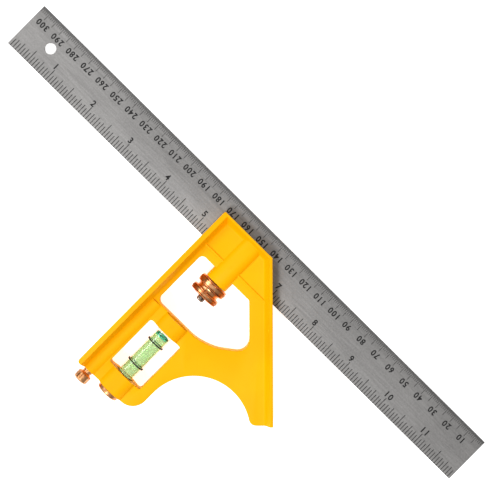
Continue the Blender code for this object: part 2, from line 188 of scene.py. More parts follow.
class Outline:
    # draws an outline point by point on the bench, then fills it and raises it
    def __init__(self, name, start):
        bpy.ops.mesh.primitive_plane_add(size=1 * mm, location=start)
        self.obj = bpy.context.object
        self.obj.name = name
        settle(self.obj)
        self.place = start
        editWhere(self.obj, "VERT", everything)
        bpy.ops.mesh.merge(type="CENTER")

    def line(self, end):
        bpy.ops.mesh.extrude_region_move()
        bpy.ops.transform.translate(value=end - self.place)
        self.place = end

    def arc(self, centre, turn, steps):
        # turn counts anticlockwise seen from above, and the spin operator counts the other way
        bpy.ops.mesh.spin(steps=steps, angle=-turn, center=centre, axis=(0, 0, 1))
        self.place = centre + Matrix.Rotation(turn, 3, "Z") @ (self.place - centre)

    def raiseTo(self, height):
        leaveEdit()
        editWhere(self.obj, "EDGE", everything)
        bpy.ops.mesh.remove_doubles(threshold=0.001 * mm)
        bpy.ops.mesh.edge_face_add()
        bpy.ops.mesh.extrude_region_move()
        bpy.ops.transform.translate(value=(0, 0, height * mm))
        bpy.ops.mesh.select_all(action="SELECT")
        bpy.ops.mesh.normals_make_consistent(inside=False)
        leaveEdit()
        return self.obj


def tidyMesh(obj, angle=32):
    editWhere(obj, "VERT", everything)
    bpy.ops.mesh.remove_doubles(threshold=0.0005 * mm)
    bpy.ops.mesh.normals_make_consistent(inside=False)
    leaveEdit()
    only(obj)
    bpy.ops.object.shade_smooth_by_angle(angle=math.radians(angle))


def isRing(mesh, edge, centre, radius):
    return all(abs((end - centre).length - radius * mm) < 0.02 * mm for end in edgeEnds(mesh, edge))


def lathe(name, across, profile, sides=72):
    # turns a piece about an axis along Y, ring by ring, from (down, radius) pairs in millimetres;
    # a first or last radius of 0 closes that end
    first = next(index for index, point in enumerate(profile) if point[1] > 0)
    down, radius = profile[first]
    bpy.ops.mesh.primitive_circle_add(vertices=sides, radius=radius * mm, location=at(across, down),
                                      rotation=(math.pi / 2, 0, 0))
    obj = bpy.context.object
    obj.name = name
    settle(obj)
    editWhere(obj, "EDGE", everything)
    if first > 0:
        bpy.ops.mesh.edge_face_add()
        leaveEdit()
        start, edge = at(across, down), radius
        editWhere(obj, "EDGE", lambda mesh, item: isRing(mesh, item, start, edge))
    for nextDown, nextRadius in profile[first + 1:]:
        if nextRadius == 0:
            bpy.ops.mesh.edge_face_add()
            break
        bpy.ops.mesh.extrude_region_move()
        bpy.ops.transform.translate(value=(0, (down - nextDown) * mm, 0))
        share = nextRadius / radius
        bpy.ops.transform.resize(value=(share, 1, share), center_override=at(across, nextDown))
        down, radius = nextDown, nextRadius
    leaveEdit()
    return obj


def knurl(obj, across, rows, radius, depth, sides):
    # pulls every second point in, turn about from row to row, so that small pyramids stand
    for row, down in enumerate(rows):
        centre = at(across, down)

        def hollow(mesh, vertex):
            offset = vertex.co - centre
            fromRim = abs(math.hypot(offset.x, offset.z) - radius * mm)
            if abs(offset.y) > 0.02 * mm or fromRim > 0.05 * mm:
                return False
            column = round(math.atan2(offset.z, offset.x) / math.tau * sides)
            return (column + row) % 2 == 1

        editWhere(obj, "VERT", hollow)
        share = (radius - depth) / radius
        bpy.ops.transform.resize(value=(share, 1, share), center_override=centre)
        leaveEdit()


def evenly(start, end, count):
    return [start + (end - start) * step / (count - 1) for step in range(count)]


def quarter(down, radius, size, steps=5):
    # a round outer edge at a turned piece's lower end, out to the radius and down to the end
    return [(down - size + size * math.sin(angle), radius - size + size * math.cos(angle))
            for angle in (math.pi / 2 * step / steps for step in range(steps + 1))]


def joinAll(name, parts):
    only(parts[0])
    for part in parts:
        part.select_set(True)
    bpy.ops.object.join()
    parts[0].name = name
    return parts[0]


def finishPiece(obj, body, material, nodes=()):
    obj.data.materials.clear()
    obj.data.materials.append(material)
    if nodes:
        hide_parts(*nodes)
    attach(obj, body)


# helpers that build materials
class Wire:
    def __init__(self, tree, socket):
        self.tree = tree
        self.socket = socket

    def calc(self, operation, first, second):
        node = self.tree.nodes.new("ShaderNodeMath")
        node.operation = operation
        for slot, value in zip(node.inputs, (first, second)):
            if isinstance(value, Wire):
                self.tree.links.new(value.socket, slot)
            else:
                slot.default_value = value
        return Wire(self.tree, node.outputs[0])

    def __add__(self, other):
        return self.calc("ADD", self, other)

    def __radd__(self, other):
        return self.calc("ADD", other, self)

    def __sub__(self, other):
        return self.calc("SUBTRACT", self, other)

    def __mul__(self, other):
        return self.calc("MULTIPLY", self, other)

    def __abs__(self):
        return self.calc("ABSOLUTE", self, 0)


class Finish:
    def __init__(self, name, **constants):
        self.material = bpy.data.materials.new(name)
        self.material.use_nodes = True
        self.tree = self.material.node_tree
        self.shader = self.tree.nodes["Principled BSDF"]
        for channel, value in constants.items():
            self.shader.inputs[spaced(channel)].default_value = value
        self.place = self.node("ShaderNodeTexCoord", output="Object")

    def node(self, kind, settings=None, sockets=None, output=0):
        node = self.tree.nodes.new(kind)
        for key, value in (settings or {}).items():
            if key == "stops":
                ramp = node.color_ramp.elements
                while len(ramp) < len(value):
                    ramp.new(0.5)
                for element, (position, colour) in zip(ramp, value):
                    element.position = position
                    element.color = (*colour, 1)
            else:
                setattr(node, key, value)
        for key, value in (sockets or {}).items():
            if isinstance(value, Wire):
                self.tree.links.new(value.socket, node.inputs[key])
            else:
                node.inputs[key].default_value = value
        return Wire(self.tree, node.outputs[output])

    def noise(self, scale, detail=3, stretch=(1, 1, 1), roughness=0.5):
        # scale counts features to the millimetre
        spread = self.node("ShaderNodeMapping", sockets={"Vector": self.place, "Scale": stretch})
        return self.node("ShaderNodeTexNoise", sockets={
            "Vector": spread, "Scale": scale / mm, "Detail": detail, "Roughness": roughness})

    def band(self, value, low, high):
        # 0 under low, 1 over high
        return self.node("ShaderNodeMapRange", {"clamp": True}, {
            "Value": value, "From Min": low, "From Max": high, "To Min": 0.0, "To Max": 1.0})

    def ramp(self, value, *stops):
        return self.node("ShaderNodeValToRGB", {"stops": stops}, {"Fac": value})

    def blend(self, share, first, second):
        # sockets 6 and 7 are a colour Mix node's A and B, and output 2 is its colour
        return self.node("ShaderNodeMix", {"data_type": "RGBA"}, {0: share, 6: first, 7: second},
                         output=2)

    def axis(self, name):
        return self.node("ShaderNodeSeparateXYZ", sockets={"Vector": self.place}, output=name)

    def bump(self, height, distance, strength=1.0, under=None):
        sockets = {"Height": height, "Distance": distance * mm, "Strength": strength}
        if under:
            sockets["Normal"] = under
        return self.node("ShaderNodeBump", sockets=sockets, output="Normal")

    def feed(self, **channels):
        for channel, value in channels.items():
            self.tree.links.new(value.socket, self.shader.inputs[spaced(channel)])
        return self.material


def spaced(camelName):
    # baseColor names the socket Base Color
    if camelName in ("ior", "specularIorLevel"):
        return {"ior": "IOR", "specularIorLevel": "Specular IOR Level"}[camelName]
    return "".join(" " + letter if letter.isupper() else letter for letter in camelName).title()


# finishes
# the bright rim colour is partly wear and partly a painted highlight on the rims' flat faces
enamelLook = {"deep": (1.0, 0.415, 0.0), "light": (1.0, 0.47, 0.0), "worn": (1.0, 0.62, 0.05),
              "stain": (0.5, 0.19, 0.0), "polish": 0.42}


def yellowEnamel():
    look = enamelLook
    finish = Finish("yellowEnamel", specularIorLevel=0.07)
    clouds = finish.noise(0.035, 4)
    peel = finish.noise(0.9, 2)
    grit = finish.noise(4.0, 2)
    tone = finish.ramp(clouds, (0.32, look["deep"]), (0.68, look["light"]))
    # the paint is brighter in patches on the rims' outermost faces, partly rubbed wear and partly a
    # painted highlight where the flat rims catch the light, and grime has settled here and there
    fromMiddle = abs(finish.axis("Z") - middle * mm)
    rim = finish.band(fromMiddle, (headTop / 2 - 0.5) * mm, (headTop / 2 - 0.05) * mm)
    scuffsAndSheen = finish.band(finish.noise(0.4, 6, (1, 1, 0.3), 0.75), 0.6, 0.72) * rim
    worn = finish.blend(scuffsAndSheen * 0.5, tone, (*look["worn"], 1))
    grime = finish.band(finish.noise(0.1, 6, roughness=0.72), 0.6, 0.8)
    stained = finish.blend(grime * 0.14, worn, (*look["stain"], 1))
    shine = look["polish"] + grit * 0.12 + grime * 0.15
    skin = finish.bump(peel, 0.05, 0.35)
    return finish.feed(baseColor=stained, roughness=shine, normal=finish.bump(grit, 0.02, 0.25, skin))


chromeLook = {"dark": (0.185, 0.18, 0.176), "light": (0.33, 0.322, 0.315),
              "scratch": (0.42, 0.41, 0.40), "polish": 0.42, "metal": 0.35}


def satinChrome():
    look = chromeLook
    finish = Finish("satinChrome", metallic=look["metal"])
    grain = finish.noise(1.2, 3, (0.06, 1, 1))
    fineGrain = finish.noise(3.5, 2, (0.12, 1, 1))
    frost = finish.noise(1.5, 4, roughness=0.75)
    smears = finish.noise(0.02, 5, (1, 1.6, 1), 0.6)
    mottle = grain * 0.3 + frost * 0.45 + smears * 0.25
    tone = finish.ramp(mottle, (0.36, look["dark"]), (0.64, look["light"]))
    scratches = finish.band(finish.noise(0.5, 4, (0.02, 1.5, 1), 0.7), 0.68, 0.76)
    marked = finish.blend(scratches * 0.35, tone, (*look["scratch"], 1))
    shine = look["polish"] + frost * 0.2 + smears * 0.1 - scratches * 0.06
    skin = finish.bump(grain, 0.012, 0.5)
    return finish.feed(baseColor=marked, roughness=shine,
                       normal=finish.bump(fineGrain, 0.006, 0.4, skin))


def graduationInk():
    finish = Finish("graduationInk", specularIorLevel=0.3)
    grain = finish.noise(2.0, 3)
    tone = finish.ramp(grain, (0.35, (0.004, 0.004, 0.004)), (0.75, (0.02, 0.02, 0.02)))
    return finish.feed(baseColor=tone, roughness=grain * 0.3 + 0.5,
                       normal=finish.bump(grain, 0.01, 0.3))


brassLook = {"dark": (0.26, 0.085, 0.03), "warm": (0.6, 0.27, 0.11), "light": (0.84, 0.48, 0.24),
             "tarnish": (0.16, 0.045, 0.015), "polish": 0.22}


def redBrass():
    look = brassLook
    finish = Finish("redBrass", metallic=1.0)
    turning = finish.noise(1.0, 3, (0.15, 6, 0.15))
    patina = finish.noise(0.25, 5, roughness=0.65)
    grain = finish.noise(5.0, 2)
    tone = finish.ramp(patina, (0.28, look["dark"]), (0.46, look["warm"]), (0.7, look["light"]))
    tarnish = finish.band(finish.noise(0.5, 6, roughness=0.7), 0.54, 0.7)
    aged = finish.blend(tarnish * 0.55, tone, (*look["tarnish"], 1))
    shine = patina * 0.14 + tarnish * 0.2 + look["polish"]
    skin = finish.bump(turning, 0.02, 0.35)
    return finish.feed(baseColor=aged, roughness=shine, normal=finish.bump(grain, 0.01, 0.25, skin))


def plainSteel(name, dark, light, polish, stretch):
    finish = Finish(name, metallic=1.0)
    grain = finish.noise(1.5, 4, stretch)
    stain = finish.noise(0.3, 5, roughness=0.7)
    tone = finish.ramp(grain * 0.4 + stain * 0.6, (0.3, dark), (0.7, light))
    return finish.feed(baseColor=tone, roughness=stain * 0.2 + polish,
                       normal=finish.bump(grain, 0.01, 0.4))


def clearAcrylic():
    finish = Finish("clearAcrylic", transmissionWeight=1.0, ior=1.4, baseColor=(0.97, 1.0, 0.97, 1))
    haze = finish.noise(0.3, 4)
    grain = finish.noise(1.5, 3, (1, 0.05, 1))
    return finish.feed(roughness=haze * 0.05 + 0.02, normal=finish.bump(grain, 0.004, 0.2))


# the third colour is painted shade for the meniscus edge, not a colour of the spirit
spiritLook = {"deep": (0.60, 0.97, 0.44), "light": (0.70, 1.0, 0.54), "film": (0.02, 0.62, 0.42)}


def greenSpirit():
    look = spiritLook
    finish = Finish("greenSpirit", transmissionWeight=0.7, ior=1.33)
    clouds = finish.noise(0.15, 3)
    tone = finish.ramp(clouds, (0.3, look["deep"]), (0.7, look["light"]))
    # painted shade: a teal band just under the liquid's surface stands in for the dark edge that the
    # meniscus shows by refraction
    surface = at(0, vial["liquidStart"] + vial["meniscus"]).y
    film = finish.band(finish.axis("Y"), surface - 0.7 * mm, surface)
    tinted = finish.blend(film, tone, (*look["film"], 1))
    return finish.feed(baseColor=tinted, roughness=clouds * 0.06 + 0.05)


def mouldedPlastic(name, dark, light, polish, **constants):
    finish = Finish(name, **constants)
    clouds = finish.noise(0.3, 4)
    grain = finish.noise(3.0, 2)
    tone = finish.ramp(clouds, (0.3, dark), (0.7, light))
    return finish.feed(baseColor=tone, roughness=grain * 0.15 + polish,
                       normal=finish.bump(grain, 0.02, 0.3))


enamel = yellowEnamel()
chrome = satinChrome()
ink = graduationInk()
brass = redBrass()
boltSteel = plainSteel("boltSteel", (0.12, 0.11, 0.10), (0.34, 0.32, 0.29), 0.26, (1, 0.2, 1))
springSteel = plainSteel("springSteel", (0.25, 0.25, 0.26), (0.48, 0.48, 0.49), 0.2, (1, 1, 1))
needleSteel = plainSteel("needleSteel", (0.42, 0.42, 0.42), (0.66, 0.66, 0.65), 0.18, (2, 0.1, 2))
acrylic = clearAcrylic()
whitePlastic = mouldedPlastic("whitePlastic", (0.70, 0.70, 0.66), (0.82, 0.82, 0.79), 0.4)
blackRubber = mouldedPlastic("blackRubber", (0.02, 0.02, 0.02), (0.045, 0.045, 0.045), 0.7)
blackBand = mouldedPlastic("blackBand", (0.003, 0.004, 0.003), (0.01, 0.012, 0.01), 0.5)
print("finishes ready")

# head casting, in millimetres from its 90 degree face and its top edge
casting = {
    "topWidth": 32.1, "footCorner": 3.5, "arcAcross": 65.05, "arcDown": 87.85, "arcRadius": 27.75,
    "armCorner": 8.4, "toeCorner": 1.5, "heelCorner": 0.5, "shoulder": 0.8, "edge": 0.3,
    "squareRim": 2.4, "topRim": 1.1, "mitreRim": 1.4, "webDepth": 5.0, "draft": 2.4, "webFillet": 0.9,
    "beadDown": 18.0, "beadWidth": 1.1, "beadHeight": 0.6, "beadRound": 0.35,
    "boltAxis": 21.4, "bossWidth": 12.4, "bossHeight": 14.4, "bossRound": 5.4, "bossEnd": 28.2,
    "vialAxis": 21.2, "barrelWidth": 15.8, "barrelHeight": 15.0, "barrelRound": 6.2,
    "scriberAxis": 7.2, "scriberBarrel": 5.5, "scriberBarrelRight": 10.4,
    "barrelStart": 55.0, "slotEnd": 16.5, "slotHalf": 1.3,
    "counterbore": 4.8, "counterboreEnd": 25.0, "shankHole": 2.8, "vialBore": 5.1, "scriberBore": 2.5,
    "boreTop": 57.0,
}
clampOpening = {
    "left": 6.7, "top": 22.75, "bottom": 54.2, "mitreStart": 39.1, "tip": (57.2, 40.9), "foot": 39.3,
    "tipRound": 7.0, "footRound": 9.0, "lowerRound": 3.4, "upperRound": 2.4, "mitreRound": 0.8,
}
vialOpening = {"left": 11.2, "right": 31.45, "top": 62.8, "bottom": 91.5, "corner": 1.2}
mitreNormal = Vector((1, 1, 0)).normalized()
footNormal = Vector((1, -1, 0)).normalized()
over = 2.0  # how far a cutter runs past a face


def mitreCut(obj, inset):
    # trims along a line parallel to the 45 degree face, inset from it
    cutAway(obj, at(casting["topWidth"], 0) - mitreNormal * inset * mm, mitreNormal)


def headOutline():
    c = casting
    bottom, armWidth = squareLength, c["arcAcross"] - c["arcRadius"]
    tip = at(headWidth, headWidth - c["topWidth"], 0)
    arcCentre = at(c["arcAcross"], c["arcDown"], 0)
    # the foot's round touches both the foot's end and the finger arc
    footRound = c["footCorner"] * mm
    start = tip - footNormal * footRound
    gap = start - arcCentre
    along = Vector((-1, -1, 0)).normalized()
    reach = c["arcRadius"] * mm + footRound
    travel = -gap.dot(along) - math.sqrt(gap.dot(along) ** 2 - gap.length_squared + reach ** 2)
    footCentre = start + along * travel
    towardsArc = (arcCentre - footCentre).normalized()
    footTurn = footNormal.angle(towardsArc)
    arcTurn = math.pi - (-towardsArc).angle(Vector((1, 0, 0)))

    corner, shoulder, toe, heel = c["armCorner"], c["shoulder"], c["toeCorner"], c["heelCorner"]
    shoulderStart = c["topWidth"] - shoulder * math.tan(math.pi / 8)
    pen = Outline("headCasting", at(heel, 0, 0))
    pen.line(at(shoulderStart, 0, 0))
    pen.arc(at(shoulderStart, shoulder, 0), -math.pi / 4, 3)
    pen.line(tip)
    pen.line(footCentre + footNormal * footRound)
    pen.arc(footCentre, -footTurn, 10)
    pen.arc(arcCentre, arcTurn, 44)
    pen.line(at(armWidth, bottom - corner, 0))
    pen.arc(at(armWidth - corner, bottom - corner, 0), -math.pi / 2, 18)
    pen.line(at(toe, bottom, 0))
    pen.arc(at(toe, bottom - toe, 0), -math.pi / 2, 6)
    pen.line(at(0, heel, 0))
    pen.arc(at(heel, heel, 0), -math.pi / 2, 4)
    head = pen.raiseTo(headTop)
    roundRims(head, headTop / 2, c["edge"])
    print("head outline raised")
    return head


def webRecess(side):
    # a flat mouth above the rims, inset and sunk at once, so that its walls lean outwards
    c = casting
    lean = c["draft"] / c["webDepth"]
    mouth = middle + side * (headTop / 2 + over)
    outer = mouth + side * over
    recess = block("recess", c["squareRim"] - lean * over, headWidth + over * 4,
                   c["topRim"] - lean * over, squareLength + over * 4,
                   min(mouth, outer), max(mouth, outer))
    mitreCut(recess, c["mitreRim"] - lean * over)
    depth = c["webDepth"] + over
    editWhere(recess, "FACE", lambda mesh, face: face.normal.z * side < -0.9)
    bpy.ops.mesh.inset(thickness=lean * depth * mm, depth=depth * mm)
    leaveEdit()
    floor = (mouth - side * depth) * mm
    roundEdges(recess, lambda a, b: max(abs(a.z - floor), abs(b.z - floor)) < slack,
               c["webFillet"], 4)
    return recess


def clampWindow():
    w = clampOpening
    window = block("clampWindow", w["left"], w["tip"][0] + over, w["top"], w["bottom"],
                   -over, headTop + over)
    mitreSide = ((w["mitreStart"], w["top"]), w["tip"])
    footSide = (w["tip"], (w["foot"], w["bottom"]))
    for start, end in (mitreSide, footSide):
        along = at(*end) - at(*start)
        cutAway(window, at(*start), Vector((-along.y, along.x, 0)).normalized())
    roundCorner(window, *w["tip"], w["tipRound"], 12)
    roundCorner(window, w["foot"], w["bottom"], w["footRound"], 8)
    roundCorner(window, w["left"], w["bottom"], w["lowerRound"], 8)
    roundCorner(window, w["left"], w["top"], w["upperRound"], 7)
    roundCorner(window, w["mitreStart"], w["top"], w["mitreRound"], 3)
    return window


def vialWindow():
    w = vialOpening
    window = block("vialWindow", w["left"], w["right"], w["top"], w["bottom"], -over, headTop + over)
    for across in (w["left"], w["right"]):
        for down in (w["top"], w["bottom"]):
            roundCorner(window, across, down, w["corner"], 5)
    return window


def bar(name, across, width, height, corner, start, end, segments=10):
    # a bar along Y, round along its four long edges and a little at its lower end
    obj = block(name, across - width / 2, across + width / 2, start, end,
                middle - height / 2, middle + height / 2)
    roundEdges(obj, lambda a, b: abs(a.y - b.y) > 1 * mm, corner, segments)
    far = at(across, end).y
    roundEdges(obj, lambda a, b: max(abs(a.y - far), abs(b.y - far)) < slack, casting["edge"], 2)
    return obj


def addBarrels(head):
    # they run long, then the windows and one cut level with the arm's end trim them
    c = casting
    aboveVial = (c["barrelStart"], vialOpening["top"] + over)
    belowVial = (vialOpening["bottom"] - over, squareLength + over)
    for start, end in (aboveVial, belowVial):
        fuse(head, bar("vialBarrel", c["vialAxis"], c["barrelWidth"], c["barrelHeight"],
                       c["barrelRound"], start, end, 14))
    scriberBarrel = lying("scriberBarrel", c["scriberAxis"], c["barrelStart"], squareLength + over,
                          c["scriberBarrel"])
    cutAway(scriberBarrel, at(c["scriberBarrelRight"], 0), Vector((1, 0, 0)))
    fuse(head, scriberBarrel)
    cut(head, block("armTrim", -over, headWidth, squareLength, squareLength + over * 2,
                    -over, headTop + over))


def castHead():
    c = casting
    head = headOutline()
    for side in (-1, 1):
        cut(head, webRecess(side))
    addBarrels(head)
    print("barrels fused")

    cut(head, clampWindow())
    cut(head, vialWindow())
    roundRims(head, headTop / 2 - c["webDepth"], c["edge"])
    print("webs recessed and windows cut")

    bead = block("webBead", c["squareRim"], c["topWidth"] + c["beadDown"] - over,
                 c["beadDown"] - c["beadWidth"] / 2, c["beadDown"] + c["beadWidth"] / 2,
                 c["webDepth"] - c["beadHeight"], headTop - c["webDepth"] + c["beadHeight"])
    roundEdges(bead, lambda a, b: abs(a.y - b.y) + abs(a.z - b.z) < slack, c["beadRound"])
    fuse(head, bead)
    fuse(head, bar("boltBoss", c["boltAxis"], c["bossWidth"], c["bossHeight"], c["bossRound"],
                   c["topRim"], c["bossEnd"]))
    print("bead and boss fused")

    cut(head, block("bladeSlot", -over, headWidth, -over, c["slotEnd"],
                    middle - c["slotHalf"], middle + c["slotHalf"]))
    shankStart, shankEnd = c["counterboreEnd"] - over, c["bossEnd"] + over
    bores = (("counterbore", c["boltAxis"], -over, c["counterboreEnd"], c["counterbore"]),
             ("shankHole", c["boltAxis"], shankStart, shankEnd, c["shankHole"]),
             ("vialBore", c["vialAxis"], c["boreTop"], squareLength + over, c["vialBore"]),
             ("scriberBore", c["scriberAxis"], c["boreTop"], squareLength + over, c["scriberBore"]))
    for name, across, start, end, radius in bores:
        cut(head, lying(name, across, start, end, radius))
    tidyMesh(head)
    finishPiece(head, "head", enamel, ["square_head"])
    print("head casting done:", len(head.data.polygons), "faces")


castHead()

# rule
rule = {"edgeRound": 0.15, "groove": 3.2, "grooveDepth": 0.9, "holeRadius": 2.8, "holeFromEnd": 16.6,
        "holeChamfer": 0.35}
ruleLeft = (bladeLow.x - headLow.x) / mm
ruleRight = (bladeHigh.x - headLow.x) / mm
ruleTop = (headHigh.y - bladeHigh.y) / mm
ruleBottom = (headHigh.y - bladeLow.y) / mm
ruleBack, ruleFront = bladeLow.z / mm, bladeHigh.z / mm


def makeRule():
    blade = block("ruleBlade", ruleLeft, ruleRight, ruleTop, ruleBottom, ruleBack, ruleFront)
    roundEdges(blade, lambda a, b: True, rule["edgeRound"], 2)
    centre = (ruleTop + ruleBottom) / 2
    half = rule["groove"] / 2
    grooveFloor = ruleBack + rule["grooveDepth"]
    cut(blade, block("ruleGroove", ruleLeft - over, ruleRight + over, centre - half, centre + half,
                     ruleBack - over, grooveFloor))
    hole = at(ruleLeft + rule["holeFromEnd"], centre)
    radius, chamfer = rule["holeRadius"], rule["holeChamfer"]
    cut(blade, upright("hangHole", hole, radius, ruleBack - over, ruleFront + over))
    # a cone as deep as it is wide breaks the hole's front edge
    bpy.ops.mesh.primitive_cone_add(vertices=64, radius1=(radius - chamfer) * mm,
                                    radius2=(radius + chamfer) * mm, depth=2 * chamfer * mm,
                                    location=(hole.x, hole.y, ruleFront * mm))
    cut(blade, settle(bpy.context.object))
    tidyMesh(blade)
    finishPiece(blade, "rule", chrome, ["blade"])
    print("rule done")


makeRule()

# graduations, filled with ink that stands a hair proud of the steel
marks = {
    "rise": 0.02, "sink": 0.05, "gap": 0.1, "metricLine": 0.24, "inchLine": 0.36,
    "halfMillimetre": 1.6, "millimetre": 3.0, "centimetre": 5.2,
    "inchLengths": (6.7, 7.2, 5.8, 5.1, 4.4),
    "metricDigits": 3.05, "metricPitch": 2.45, "metricDown": 5.85,
    "inchDigits": 3.1, "inchPitch": 2.6, "inchUp": 6.9, "inchAside": 0.8,
    "bold": 0.03, "narrow": 0.95, "extrude": 0.02,
}
inch = 25.4
inches = 12  # the rule's length


def tickRow(start, length, width, fromTop, rows, face, side):
    # one tick, laid out along the rule by arrays of (spacing, count)
    low = face - (marks["sink"] if side > 0 else marks["rise"])
    high = low + marks["sink"] + marks["rise"]
    near, far = (ruleTop, ruleTop + length) if fromTop else (ruleBottom - length, ruleBottom)
    tick = block("tick", start - width / 2, start + width / 2, near + marks["gap"],
                 far - marks["gap"], low, high)
    for spacing, count in rows:
        row = tick.modifiers.new("row", "ARRAY")
        row.use_relative_offset = False
        row.use_constant_offset = True
        row.constant_offset_displace = (spacing * mm, 0, 0)
        row.count = count
        only(tick)
        bpy.ops.object.modifier_apply(modifier=row.name)
    return tick


def metricTicks(face, side):
    # zero is at the rule's right end, so the marks count towards the left
    line = marks["metricLine"]
    rows = ((0.5, marks["halfMillimetre"], ((-1, 304),)),
            (1, marks["millimetre"], ((-1, 4), (-5, 61))),
            (5, marks["centimetre"], ((-5, 60),)))
    return [tickRow(ruleRight - start, length, line, True, spread, face, side)
            for start, length, spread in rows]


def inchTicks(face, side):
    # whole inches first, then each finer row stands halfway between the marks before it
    line = marks["inchLine"]
    whole, *finer = marks["inchLengths"]
    ticks = [tickRow(ruleLeft + inch, whole, line, False, ((inch, inches - 1),), face, side)]
    spacing = inch
    for length in finer:
        spread = ((spacing, round(inches * inch / spacing)),)
        ticks.append(tickRow(ruleLeft + spacing / 2, length, line, False, spread, face, side))
        spacing /= 2
    return ticks


def digitMasters():
    masters = {}
    for digit in "0123456789":
        bpy.ops.object.text_add()
        text = bpy.context.object.data
        text.body = digit
        text.offset = marks["bold"]
        text.extrude = marks["extrude"]
        text.resolution_u = 4
        text.align_x = "CENTER"
        bpy.ops.object.convert(target="MESH")
        obj = bpy.context.object
        masters[digit] = (obj, max(vertex.co.y for vertex in obj.data.vertices))
    return masters


def placeDigit(master, tall, across, down, height, face, side, upsideDown):
    copy = master.copy()
    copy.data = master.data.copy()
    bpy.context.scene.collection.objects.link(copy)
    size = height / tall * mm
    thick = (marks["rise"] + marks["sink"]) / (2 * marks["extrude"]) * mm
    middleOfInk = face + side * (marks["rise"] - marks["sink"]) / 2
    turn = Matrix.Rotation(math.pi if upsideDown else 0, 4, "Z")
    flip = Matrix.Rotation(math.pi if side < 0 else 0, 4, "Y")
    scale = Matrix.Diagonal((size * marks["narrow"], size, thick, 1))
    copy.matrix_world = Matrix.Translation(at(across, down, middleOfInk)) @ turn @ flip @ scale
    return copy


def graduate(name, face, side):
    lines = joinAll(name + "Ticks", metricTicks(face, side) + inchTicks(face, side))
    finishPiece(lines, "rule", ink)
    masters = digitMasters()
    copies = []
    for value in range(10, 310, 10):
        # metric numbers are read with the rule turned round, each with its tick before the last digit
        text = str(value)
        for index, digit in enumerate(text):
            shift = (len(text) - 1.5 - index) * marks["metricPitch"] * side
            copies.append(placeDigit(*masters[digit], ruleRight - value + shift,
                                     ruleTop + marks["metricDown"], marks["metricDigits"],
                                     face, side, True))
    for value in range(1, inches):
        # a single inch numeral stands a little before its tick, and a pair stands astride it
        text = str(value)
        for index, digit in enumerate(text):
            shift = -marks["inchAside"] if len(text) == 1 else (index - 0.5) * marks["inchPitch"]
            copies.append(placeDigit(*masters[digit], ruleLeft + value * inch + shift * side,
                                     ruleBottom - marks["inchUp"], marks["inchDigits"],
                                     face, side, False))
    for master, tall in masters.values():
        bpy.data.objects.remove(master, do_unlink=True)
    numerals = joinAll(name + "Numerals", copies)
    settle(numerals)
    finishPiece(numerals, "rule", ink)
    print(name, "graduated")


graduate("front", ruleFront, 1)
graduate("back", ruleBack, -1)

# clamp nut and draw bolt
clamp = {
    "axis": 21.4, "nutStart": 28.6, "upperFlange": 3.8, "groove": 2.0, "lowerFlange": 3.2,
    "nutRadius": 7.85, "waist": 6.0, "bore": 2.6, "teeth": 60, "knurlDepth": 0.34, "ringDepth": 0.5,
    "boltTop": 3.0, "collarStart": 17.5, "collarEnd": 19.5, "boltHead": 4.5, "shank": 1.9, "crest": 2.3,
    "pitch": 0.8, "threadFrom": 26.0, "threadGap": 0.7, "veeShare": 0.42, "boltEnd": 40.2,
    "backGap": 0.3, "hookHalf": 4.0, "hookWidth": 1.8, "hookHeight": 0.9, "hookRound": 0.25,
}


def knurledFlange(start, end, radius):
    # plain lands at both sides, then a fine turned ring, and rows for the knurl between the rings
    land, ring = 0.75, clamp["ringDepth"]
    rows = evenly(start + land + 0.3, end - land - 0.3, 7)
    plain = radius - 0.05
    opening = [(start, radius - 0.4), (start + 0.35, plain), (start + land - 0.2, plain),
               (start + land, radius - ring)]
    closing = [(end - land, radius - ring), (end - land + 0.2, plain), (end - 0.35, plain),
               (end, radius - 0.4)]
    return opening + [(down, radius) for down in rows] + closing, rows


def makeNut():
    c = clamp
    start, waist, bore = c["nutStart"], c["waist"], c["bore"]
    upperEnd = start + c["upperFlange"]
    lowerStart = upperEnd + c["groove"]
    nutEnd = lowerStart + c["lowerFlange"]
    upper, upperRows = knurledFlange(start, upperEnd, c["nutRadius"])
    lower, lowerRows = knurledFlange(lowerStart, nutEnd, c["nutRadius"])
    throat = [(upperEnd, waist + 0.5), (upperEnd + 0.3, waist + 0.1), (upperEnd + 0.6, waist),
              (lowerStart - 0.6, waist), (lowerStart - 0.3, waist + 0.1), (lowerStart, waist + 0.5)]
    face = [(nutEnd, waist), (nutEnd - 0.3, waist - 0.6), (nutEnd - 0.3, bore + 0.5),
            (nutEnd - 0.8, bore)]
    mouth = [(start + 0.5, bore), (start, bore + 0.5)]
    profile = mouth + upper + throat + lower + face + mouth[:1]
    sides = c["teeth"] * 2
    nut = lathe("thumbNut", c["axis"], profile, sides)
    for rows in (upperRows, lowerRows):
        knurl(nut, c["axis"], rows, c["nutRadius"], c["knurlDepth"], sides)
    tidyMesh(nut, 22)
    finishPiece(nut, "thumb_nut", brass, ["clamp_nut"])
    print("thumb nut done")


def makeBolt():
    c = clamp
    head, shank, top = c["boltHead"], c["shank"], c["boltTop"]
    collarEnd, end = c["collarEnd"], c["boltEnd"]
    profile = [(top, 0), (top, head - 0.2), (top + 0.2, head), (collarEnd - 0.3, head),
               (collarEnd, head - 0.3), (collarEnd, shank), (end - 0.4, shank), (end, shank - 0.4),
               (end, 0)]
    bolt = lathe("drawBolt", c["axis"], profile, 64)
    flat = ruleBack - c["backGap"]
    cut(bolt, block("relief", c["axis"] - head - over, c["axis"] + head + over, top - over,
                    c["collarStart"], flat, headTop))
    hook = block("hook", c["axis"] - c["hookHalf"], c["axis"] + c["hookHalf"],
                 top, top + c["hookWidth"], flat - 0.5, flat + c["hookHeight"])
    roundEdges(hook, lambda a, b: abs(a.x - b.x) > 1 * mm and min(a.z, b.z) > flat * mm,
               c["hookRound"], 2)
    fuse(bolt, hook)
    tidyMesh(bolt)
    finishPiece(bolt, "draw_bolt", boltSteel, ["clamp_bolt"])


